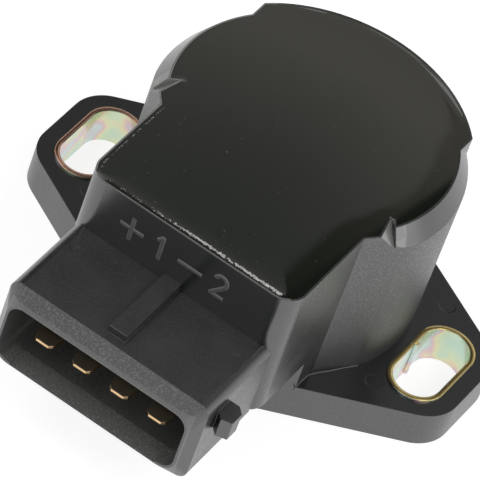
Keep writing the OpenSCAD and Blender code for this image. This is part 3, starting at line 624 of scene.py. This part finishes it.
def resin_surface(loop):
    """Points across the pool, close together where the meniscus bends."""
    lo, hi = loop.min(0), loop.max(0)
    rows = []
    for j, y in enumerate(np.arange(lo[1], hi[1], RESIN_STEP * math.sqrt(0.75))):
        xs = np.arange(lo[0] + (j % 2) * RESIN_STEP / 2, hi[0], RESIN_STEP)
        rows.append(np.column_stack([xs, np.full(len(xs), y)]))
    grid = np.vstack(rows)
    grid = grid[depth_inside(grid, loop) > SKIN_STEPS[-1] + RESIN_STEP * 0.6]
    along = np.roll(loop, -1, 0) - np.roll(loop, 1, 0)
    inward = np.column_stack([-along[:, 1], along[:, 0]])
    inward /= np.linalg.norm(inward, axis=1)[:, None]
    if depth_inside(loop[:1] + inward[:1] * 0.05, loop)[0] < 0:
        inward = -inward
    layers = [grid]
    for step in SKIN_STEPS:
        ring = loop + inward * step
        layers.append(ring[depth_inside(ring, loop) > step * 0.85])
    return np.vstack(layers)


def soft_max(a, b):
    """The larger of two, blended where they are alike."""
    return np.logaddexp(a / CORNER_SOFTNESS, b / CORNER_SOFTNESS) * CORNER_SOFTNESS


def creep_depth(x, y):
    """Distance in from the round, straight back and neck walls; small notches don't count."""
    r = np.hypot(x, y)
    side = np.minimum(BACK_HALF_W - abs(x), BACK_R - r)
    back = np.minimum(side, y)
    neck = np.minimum(NECK_HALF_W - abs(x), y - NECK_FRONT_Y)
    return np.maximum(soft_max(soft_max(ROUND_R - r, back), neck), 0)


def pull_down(bm, z):
    """Walls from a sheet's open edge down to z."""
    rim = [e for e in bm.edges if e.is_boundary]
    for part in bmesh.ops.extrude_edge_only(bm, edges=rim)["geom"]:
        if isinstance(part, bmesh.types.BMVert):
            part.co.z = z
        if isinstance(part, bmesh.types.BMFace):
            part.smooth = False


def fill_flat(bm):
    """Flat faces between all edges that are still open."""
    bmesh.ops.triangle_fill(bm, edges=[e for e in bm.edges if e.is_boundary or e.is_wire], use_beauty=True)


def make_resin():
    """The curved top, a wall down to the rim's step, a ledge inwards, and the block below."""
    loop = split_loop(face_outline("potting", max), RIM_STEP)
    count = len(loop)
    flat = [Vector(p) for p in np.vstack([loop, resin_surface(loop)])]
    border = [(i, (i + 1) % count) for i in range(count)]
    points, _, faces, _, _, _ = geometry.delaunay_2d_cdt(flat, border, [], 1, 1e-4)
    places = np.array([(p.x, p.y) for p in points])
    level = RESIN_LEVEL + CREEP_H * np.exp(-creep_depth(places[:, 0], places[:, 1]) / CREEP_REACH)
    edge = np.maximum(depth_inside(places, loop), 0)
    level += (WET_Z - level) * np.exp(-edge / WET_REACH)
    mesh = bpy.data.meshes.new("resin_pool")
    mesh.from_pydata([(p[0] * MM, p[1] * MM, h * MM) for p, h in zip(places, level)], [], faces)
    bm = bmesh.new()
    bm.from_mesh(mesh)
    for f in bm.faces:
        f.smooth = True
    pull_down(bm, STEP_Z * MM)
    corners = [bm.verts.new((x * MM, y * MM, STEP_Z * MM)) for x, y in face_outline("potting", min)]
    for a, b in zip(corners, corners[1:] + corners[:1]):
        bm.edges.new((a, b))
    fill_flat(bm)
    pull_down(bm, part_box("potting")[0].z)
    fill_flat(bm)
    bmesh.ops.recalc_face_normals(bm, faces=bm.faces)
    bm.to_mesh(mesh)
    bm.free()
    return mesh


def cast_resin():
    """Dark and clear at the front, lighter towards the back and the sides in cloudy patches, up to a slanted
    line.
    """
    material, tree, shader = new_material("cast_resin")
    place, x, y, _ = place_in_mm(tree)
    back = calc(tree, "DIVIDE", calc(tree, "SUBTRACT", y, LIGHTER_START_Y), LIGHTER_LENGTH, clamp=True)
    side = calc(tree, "DIVIDE", x, NECK_HALF_W)
    cloud = calc(tree, "MULTIPLY", noise_at(tree, place, 0.08, 3.0), 0.3)
    lighter_share = calc(tree, "MULTIPLY", back, calc(tree, "ADD", back, cloud))
    beside = calc(tree, "MULTIPLY", calc(tree, "MULTIPLY", side, side), 0.15)
    lighter_share = calc(tree, "ADD", lighter_share, beside, clamp=True)
    leaning = calc(tree, "SUBTRACT", x, calc(tree, "MULTIPLY", y, LIGHTER_EDGE_LEAN))
    lighter_share = calc(tree, "MULTIPLY", lighter_share, between(tree, leaning, LIGHTER_EDGE_END + 0.7, LIGHTER_EDGE_END - 0.7))
    color = blend_colors(tree, lighter_share, RESIN_DEEP, RESIN_LIGHTER)
    dust = between(tree, noise_at(tree, place, 2.3, 0), 0.84, 0.86)
    feed(tree, shader.inputs["Base Color"], blend_colors(tree, dust, color, RESIN_DUST))
    hands = use_group(tree, handling, Place=place)
    feed(tree, shader.inputs["Roughness"], blend_values(tree, hands["Wipes"], 0.05, 0.1))
    shader.inputs["Specular IOR Level"].default_value = 0.75
    wave = noise_at(tree, place, 0.16, 1.0)
    feed(tree, shader.inputs["Normal"], bump(tree, wave, 0.012))
    return material


resin_mesh = make_resin()
resin_pool = bpy.data.objects.new("resin_pool", resin_mesh)
bpy.context.scene.collection.objects.link(resin_pool)
resin_mesh.materials.append(cast_resin())
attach(resin_pool, "stator")
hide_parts("potting")

# Resin flecks: where the pour ran thin over the front rim it dried to flecks and beads, coloured near white as
# a painted glint.
# They stick to the rim in a broken line, thickest towards the right.
FLECK_LINE = [
    (-13.15, -11.2, 26.14), (-13.15, -18, 26.14), (-13.15, -23.6, 26.14), (-12.7, -24.6, 26.14),
    (-11.8, -25.15, 26.14), (-2, -25.2, 26.15), (0.5, -25.12, 26.15), (6, -25.2, 26.15), (11.6, -25.2, 26.14)]
FLECK_STEP, FLECK_R, FLECK_THRESHOLD = 0.05, 0.05, 0.66
FLECK_DULL = (0.35, 0.36, 0.34, 1)
FLECK_GLINT_WHITE = (0.95, 0.96, 0.93, 1)


def make_fleck_tree(material):
    """Small beads at random along a chain, larger and closer together towards its right end."""
    tree, given, result = geometry_tree(
        "rim_flecks", [("Step", "NodeSocketFloat"), ("Radius", "NodeSocketFloat")])
    chain = add(tree, "GeometryNodeMeshToCurve")
    feed(tree, chain.inputs["Mesh"], given.outputs["Geometry"])
    spots = add(tree, "GeometryNodeCurveToPoints", mode="LENGTH")
    feed(tree, spots.inputs["Curve"], chain.outputs["Curve"])
    feed(tree, spots.inputs["Length"], given.outputs["Step"])
    here, x, _, _ = in_mm(tree, add(tree, "GeometryNodeInputPosition").outputs[0])
    patches = noise_at(tree, here, 1.1, 3.0)
    lean = blend_values(tree, between(tree, x, -3, 2), 0.0, 0.16)
    chance = add(tree, "FunctionNodeRandomValue", data_type="FLOAT")
    chance.inputs["Seed"].default_value = 7
    strength = calc(tree, "ADD", patches, lean)
    strength = calc(tree, "ADD", strength, calc(tree, "MULTIPLY", chance.outputs[1], 0.25))
    kept = calc(tree, "GREATER_THAN", strength, FLECK_THRESHOLD)
    shift = add(tree, "FunctionNodeRandomValue", data_type="FLOAT_VECTOR")
    shift.inputs["Min"].default_value = (-0.05 * MM, -0.12 * MM, -0.01 * MM)
    shift.inputs["Max"].default_value = (0.05 * MM, 0.2 * MM, 0.01 * MM)
    shift.inputs["Seed"].default_value = 11
    moved = add(tree, "GeometryNodeSetPosition")
    feed(tree, moved.inputs["Geometry"], spots.outputs["Points"])
    feed(tree, moved.inputs["Offset"], shift.outputs[0])
    bead = add(tree, "GeometryNodeMeshIcoSphere")
    bead.inputs["Subdivisions"].default_value = 2
    feed(tree, bead.inputs["Radius"], given.outputs["Radius"])
    stretch = add(tree, "FunctionNodeRandomValue", data_type="FLOAT_VECTOR")
    stretch.inputs["Min"].default_value = (0.4, 0.4, 0.3)
    stretch.inputs["Max"].default_value = (2.6, 1.8, 0.9)
    stretch.inputs["Seed"].default_value = 3
    placed = add(tree, "GeometryNodeInstanceOnPoints")
    feed(tree, placed.inputs["Points"], moved.outputs["Geometry"])
    feed(tree, placed.inputs["Selection"], kept)
    feed(tree, placed.inputs["Instance"], bead.outputs["Mesh"])
    size = add(tree, "ShaderNodeVectorMath", operation="SCALE")
    feed(tree, size.inputs[0], stretch.outputs[0])
    feed(tree, size.inputs["Scale"], blend_values(tree, between(tree, x, -8, 4), 0.45, 1.6))
    feed(tree, placed.inputs["Scale"], size.outputs[0])
    end_tree(tree, result, placed.outputs["Instances"], material)
    return tree


def dried_resin_glint():
    """Dried resin, uneven and as glossy as the pool in places; its near-white is a painted glint."""
    material, tree, shader = new_material("dried_resin_glint")
    pale = noise_at(tree, place_in_mm(tree)[0], 3.0, 1.0)
    feed(tree, shader.inputs["Base Color"], blend_colors(tree, pale, FLECK_DULL, FLECK_GLINT_WHITE))
    feed(tree, shader.inputs["Roughness"], blend_values(tree, pale, 0.2, 0.45))
    return material


fleck_line = lines_mesh("rim_flecks", [FLECK_LINE])
fleck_growth = make_fleck_tree(dried_resin_glint())
rim_flecks = grown("rim_flecks", fleck_line, fleck_growth, Step=FLECK_STEP * MM, Radius=FLECK_R * MM)
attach(rim_flecks, "stator")

# Bushes: steel strip rolled to a slot and pressed into the ears, zinc plated and passivated.
# The thin passivate shows as rainbow colours on the inner wall, and wears to brass and copper
# tones on the cut edge.
PASSIVATE = [
    (0.0, (0.50, 0.66, 0.58)),
    (0.28, (0.62, 0.72, 0.50)),
    (0.42, (0.76, 0.70, 0.44)),
    (0.56, (0.70, 0.46, 0.54)),
    (0.66, (0.56, 0.64, 0.66)),
    (1.0, (0.58, 0.76, 0.60)),
]
EDGE_BRASS = (0.64, 0.50, 0.20, 1)
EDGE_COPPER = (0.52, 0.30, 0.21, 1)
RIM_MIDDLE, RIM_HALF_W = 3.2, 0.3


def passivated_zinc(name, edge_color, drift):
    """Zinc under rainbow colours; drift moves the colours' bands, so that the two bushes differ."""
    material, tree, shader = new_material(name)
    place, x, y, _ = place_in_mm(tree)
    shifted = add(tree, "ShaderNodeVectorMath", operation="ADD")
    feed(tree, shifted.inputs[0], place)
    shifted.inputs[1].default_value = (drift, drift * 0.7, 0)
    bands = noise_at(tree, shifted.outputs[0], 0.17, 2.0)
    spread = between(tree, bands, 0.3, 0.72)
    film = add(tree, "ShaderNodeValToRGB")
    feed(tree, film.inputs[0], spread)
    ramp = film.color_ramp
    ramp.interpolation = "B_SPLINE"
    while len(ramp.elements) < len(PASSIVATE):
        ramp.elements.new(0.5)
    for element, (at, color) in zip(ramp.elements, PASSIVATE):
        element.position = at
        element.color = (*color, 1)
    edge = between(tree, facing(tree)["Z"], 0.5, 0.8)
    feed(tree, shader.inputs["Base Color"], blend_colors(tree, edge, film.outputs["Color"], edge_color))
    shader.inputs["Metallic"].default_value = 1
    feed(tree, shader.inputs["Roughness"], blend_values(tree, noise_at(tree, place, 1.1), 0.16, 0.3))
    across = calc(tree, "SUBTRACT", distance_to_slot(tree, x, y), RIM_MIDDLE)
    across = calc(tree, "DIVIDE", across, RIM_HALF_W)
    crown = calc(tree, "SUBTRACT", 1.0, calc(tree, "MULTIPLY", across, across))
    round_rim = calc(tree, "MULTIPLY", edge, crown)
    height = calc(tree, "ADD", round_rim, calc(tree, "MULTIPLY", noise_at(tree, place, 3.0), 0.08))
    feed(tree, shader.inputs["Normal"], bump(tree, height, 0.15, edge_mm=0.2))
    return material


dress("right_bush", passivated_zinc("passivated_zinc_right", EDGE_BRASS, 0.0))
dress("left_bush", passivated_zinc("passivated_zinc_left", EDGE_COPPER, 31.0))

# Pins: flat brass blades stamped from strip, tin-flashed, with a coined taper at the tip.
# The tips keep the punch's bright edge, and their faces have gone dull.
CUT_BRASS = ((0.85, 0.60, 0.33, 1), (0.62, 0.42, 0.22, 1))
DULL_BRASS = ((0.46, 0.38, 0.26, 1), (0.30, 0.26, 0.20, 1))


def stamped_brass():
    """Bright on the edges that the punch cut, duller on the flat faces."""
    material, tree, shader = new_material("stamped_brass")
    place = place_in_mm(tree)[0]
    tarnish = noise_at(tree, place, 0.9, 4.0)
    dull = between(tree, calc(tree, "ABSOLUTE", facing(tree)["Z"]), 0.9, 0.97)
    cut = blend_colors(tree, tarnish, *CUT_BRASS)
    face = blend_colors(tree, tarnish, *DULL_BRASS)
    feed(tree, shader.inputs["Base Color"], blend_colors(tree, dull, cut, face))
    shader.inputs["Metallic"].default_value = 1
    bright = blend_values(tree, tarnish, 0.2, 0.34)
    feed(tree, shader.inputs["Roughness"], blend_values(tree, dull, bright, 0.5))
    feed(tree, shader.inputs["Normal"], bump(tree, noise_at(tree, place, 5.0), 0.01, edge_mm=0.1))
    return material


brass = stamped_brass()
for pin in ("terminal_plus", "terminal_1", "terminal_minus", "terminal_2"):
    dress(pin, brass)

# Inner cover, resistor board and leads: what the resin hides.
# The cover is the housing's nylon, the board a green laminate with a clear coat, and the leads are
# tinned wire, which is as bright as the steel parts.
LAMINATE_GREEN = ((0.035, 0.12, 0.07, 1), (0.06, 0.17, 0.1, 1))
DRAWN_STEEL = ((0.62, 0.61, 0.59, 1), (0.42, 0.42, 0.41, 1))


def coated_laminate():
    """Glass cloth shows faintly through the board's green coat."""
    material, tree, shader = new_material("coated_laminate")
    weave = noise_at(tree, place_in_mm(tree)[0], 2.5, 3.0)
    feed(tree, shader.inputs["Base Color"], blend_colors(tree, weave, *LAMINATE_GREEN))
    shader.inputs["Roughness"].default_value = 0.4
    feed(tree, shader.inputs["Normal"], bump(tree, weave, 0.02))
    return material


def uneven_finish(name, colors, roughness, clouds, relief, edge_mm, metallic=0, relief_clouds=None):
    """Drifts between two colours and two roughnesses, over a faint relief and rounded edges."""
    material, tree, shader = new_material(name)
    place = place_in_mm(tree)[0]
    drift = noise_at(tree, place, *clouds)
    feed(tree, shader.inputs["Base Color"], blend_colors(tree, drift, *colors))
    shader.inputs["Metallic"].default_value = metallic
    feed(tree, shader.inputs["Roughness"], blend_values(tree, drift, *roughness))
    height = noise_at(tree, place, relief_clouds) if relief_clouds else drift
    feed(tree, shader.inputs["Normal"], bump(tree, height, relief, edge_mm=edge_mm))
    return material


dress("inner_cover", nylon)
dress("resistor_board", coated_laminate())
steel = uneven_finish("bright_steel", DRAWN_STEEL, (0.2, 0.38), (4.0, 3.0), 0.008, 0.08, metallic=1)
dress("bond_leads", steel)

# Return spring: a torsion spring of round steel wire, wound round the bearing's boss.
# Its lower leg stands in the housing's wall and its upper leg in the rotor's disc, so it winds as
# the rotor turns.
COIL_R, WIRE_R, BEND_R = 11.4, 0.45, 0.7
COIL_Z, COIL_RISE, COIL_TURNS = 6.85, 1.08, 4
LEG_X, LEG_TOP = -14.7, 13.1
WIRE_STEP, STEPS_A_TURN = 0.25, 72


def torsion_wire():
    """The wire's middle line in mm, from the wall's leg to the disc's leg, with rounded bends."""
    join = math.degrees(math.asin(BEND_R / COIL_R))
    near_x = -COIL_R * math.cos(math.radians(join))
    bend = [math.radians(15 * i) for i in range(7)]
    wire = [(LEG_X, 0, COIL_Z)]
    wire += [(near_x - BEND_R + BEND_R * math.sin(t), BEND_R * math.cos(t) - BEND_R, COIL_Z) for t in bend]
    steps = COIL_TURNS * STEPS_A_TURN
    for i in range(1, steps):
        turned = join + (COIL_TURNS * 360 - 2 * join) * i / steps
        a = math.radians(180 + turned)
        wire.append((COIL_R * math.cos(a), COIL_R * math.sin(a), COIL_Z + COIL_RISE * turned / 360))
    top_z = COIL_Z + COIL_RISE * COIL_TURNS
    wire += [(near_x, BEND_R - BEND_R * math.sin(t), top_z + BEND_R - BEND_R * math.cos(t)) for t in bend]
    return wire + [(near_x, 0, LEG_TOP)]


return_coil = grown(
    "return_coil", lines_mesh("return_coil", [torsion_wire()]), make_stroke_tree("wound_wire", steel),
    Radius=WIRE_R * MM, Step=WIRE_STEP * MM)
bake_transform(return_coil)
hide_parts("return_spring")

# Rotor, wipers and bearing: the rotor is moulded in natural acetal and shows only from below.
# Its wipers are bronze spring strip and its bearing is an oiled sintered bronze ring. The clip in
# its shaft socket and the washer that it runs on are steel.
ACETAL = ((0.70, 0.67, 0.58, 1), (0.60, 0.57, 0.48, 1))
BRONZE = ((0.55, 0.38, 0.16, 1), (0.36, 0.24, 0.1, 1))
natural_acetal = uneven_finish(
    "natural_acetal", ACETAL, (0.32, 0.48), (0.35, 4.0), 0.01, 0.15, relief_clouds=6.0)
sintered_bronze = uneven_finish("sintered_bronze", BRONZE, (0.35, 0.6), (7.0, 2.0), 0.03, 0.1, metallic=1)
dress("rotor", natural_acetal)
for piece in ("wiper_inner", "wiper_outer", "bearing_bush"):
    dress(piece, sintered_bronze)
for piece in ("drive_clip", "thrust_washer"):
    dress(piece, steel)

# Seals: nitrile rubber rings, one round the rotor and one in the flange's underside.
# A pressed steel ring holds the first one in its seat.
RUBBER = ((0.012, 0.012, 0.012, 1), (0.03, 0.03, 0.029, 1))
nitrile_rubber = uneven_finish(
    "nitrile_rubber", RUBBER, (0.55, 0.75), (0.8, 4.0), 0.01, 0.1, relief_clouds=8.0)
for piece in ("shaft_seal", "flange_seal"):
    dress(piece, nitrile_rubber)
dress("seal_retainer", steel)

# Table and light: a white sweep in a light tent, with a darker opening at the back on the left.
# That opening is what the resin's meniscus mirrors as a black band along its right edge. The sweep
# lies a hair under the flange, so that the two never share a plane.
FLOOR_HALF, FLOOR_DROP = 1.5, 0.00005
FLOOR_GLOW = 0.82
FLOOR_WHITE = (0.45, 0.45, 0.45, 1)
ROOF_LEVEL, ROOF_HEIGHTS = 0.22, (6, 40)
GAP_LEVEL, GAP_SLANT, SLANT_HEIGHT = 0.015, 0.4, 43.7
GAP_RIGHT, GAP_LEFT = (111.8, 114.2), (172, 160)
GAP_FOOT, GAP_HEAD = (8, 14), (49, 46)
BOX_DISTANCE = 0.6


def ray_is(tree, *kinds):
    """1 for rays of any of these kinds."""
    path = add(tree, "ShaderNodeLightPath")
    return strongest(tree, *(path.outputs[kind] for kind in kinds))


def make_floor():
    """Matt for the light that falls on it, white to the camera and in reflections."""
    material, tree, shader = new_material("white_sweep")
    tree.nodes.remove(shader)
    matt = add(tree, "ShaderNodeBsdfDiffuse")
    matt.inputs["Color"].default_value = FLOOR_WHITE
    glow = add(tree, "ShaderNodeEmission")
    seen = ray_is(tree, "Is Camera Ray", "Is Glossy Ray", "Is Transmission Ray")
    feed(tree, glow.inputs["Strength"], calc(tree, "MULTIPLY", seen, FLOOR_GLOW))
    both = add(tree, "ShaderNodeAddShader")
    feed(tree, both.inputs[0], matt.outputs[0])
    feed(tree, both.inputs[1], glow.outputs[0])
    feed(tree, tree.nodes["Material Output"].inputs["Surface"], both.outputs[0])
    mesh = bpy.data.meshes.new("sweep")
    s = FLOOR_HALF
    mesh.from_pydata([(x, y, -FLOOR_DROP) for x, y in ((-s, -s), (s, -s), (s, s), (-s, s))], [], [(0, 1, 2, 3)])
    mesh.materials.append(material)
    sweep = bpy.data.objects.new("sweep", mesh)
    bpy.context.scene.collection.objects.link(sweep)


def make_tent():
    """The world's brightness by direction, in degrees of height and of bearing from +X."""
    world = bpy.data.worlds.new("tent")
    world.use_nodes = True
    tree = world.node_tree
    way = add(tree, "ShaderNodeSeparateXYZ")
    feed(tree, way.inputs[0], add(tree, "ShaderNodeTexCoord").outputs["Generated"])
    turn = calc(tree, "DEGREES", calc(tree, "ARCTAN2", way.outputs["Y"], way.outputs["X"]))
    height = calc(tree, "DEGREES", calc(tree, "ARCSINE", way.outputs["Z"]))
    level = blend_values(tree, between(tree, height, *ROOF_HEIGHTS), 1.0, ROOF_LEVEL)
    lean = calc(tree, "MULTIPLY", calc(tree, "SUBTRACT", SLANT_HEIGHT, height), GAP_SLANT)
    gap = all_of(
        tree, between(tree, calc(tree, "ADD", turn, lean), *GAP_RIGHT), between(tree, turn, *GAP_LEFT),
        between(tree, height, *GAP_FOOT), between(tree, height, *GAP_HEAD))
    level = blend_values(tree, gap, level, GAP_LEVEL)
    seen = ray_is(tree, "Is Camera Ray")
    background = tree.nodes["Background"]
    background.inputs["Color"].default_value = (1, 1, 1, 1)
    feed(tree, background.inputs["Strength"], blend_values(tree, seen, level, 1.0))
    bpy.context.scene.world = world


def softbox(name, bearing, height, size, radiance):
    """A square lamp that faces the object; radiance is how bright its face looks."""
    lamp = bpy.data.lights.new(name, "AREA")
    lamp.size = size
    lamp.energy = radiance * math.pi * size * size
    b, h = math.radians(bearing), math.radians(height)
    way = Vector((math.cos(b) * math.cos(h), math.sin(b) * math.cos(h), math.sin(h)))
    holder = bpy.data.objects.new(name, lamp)
    holder.location = way * BOX_DISTANCE
    holder.rotation_euler = way.to_track_quat("Z", "Y").to_euler()
    bpy.context.scene.collection.objects.link(holder)


make_floor()
make_tent()
softbox("front_box", bearing=-109, height=45, size=0.32, radiance=0.8)
softbox("left_box", bearing=-170, height=50, size=0.3, radiance=1.5)
softbox("right_box", bearing=-20, height=50, size=0.3, radiance=2.5)
softbox("low_right_box", bearing=8, height=13, size=0.35, radiance=0.85)

# Camera: a long lens from the front right, rolled, as the object was photographed.
# Its turn, height, roll and place come from a fit of the object's corners to the photograph.
CAMERA_TURN, CAMERA_HEIGHT, CAMERA_ROLL = 18.285, 43.737, -20.757
CAMERA_DISTANCE = 679.2
CAMERA_SHIFT_RIGHT, CAMERA_SHIFT_UP = -1.515, 4.599
LENS_MM = 448.8
SENSOR_MM = 36.0


def make_camera():
    """The view from the fitted place, which is given along the camera's own axes."""
    a, e, r = (math.radians(v) for v in (CAMERA_TURN, CAMERA_HEIGHT, CAMERA_ROLL))
    back = Vector((math.sin(a) * math.cos(e), -math.cos(a) * math.cos(e), math.sin(e)))
    right = Vector((math.cos(a), math.sin(a), 0))
    up = back.cross(right)
    rolled_right = math.cos(r) * right - math.sin(r) * up
    rolled_up = math.sin(r) * right + math.cos(r) * up
    camera = bpy.data.cameras.new("camera")
    camera.lens = LENS_MM
    camera.sensor_width = SENSOR_MM
    camera.clip_start = 0.05
    camera.clip_end = 20
    holder = bpy.data.objects.new("camera", camera)
    turn = Matrix((rolled_right, rolled_up, back)).transposed().to_4x4()
    place = (CAMERA_DISTANCE * back + CAMERA_SHIFT_RIGHT * rolled_right + CAMERA_SHIFT_UP * rolled_up) * MM
    holder.matrix_world = Matrix.Translation(place) @ turn
    bpy.context.scene.collection.objects.link(holder)
    bpy.context.scene.camera = holder


make_camera()
bpy.context.scene.view_settings.view_transform = "Standard"
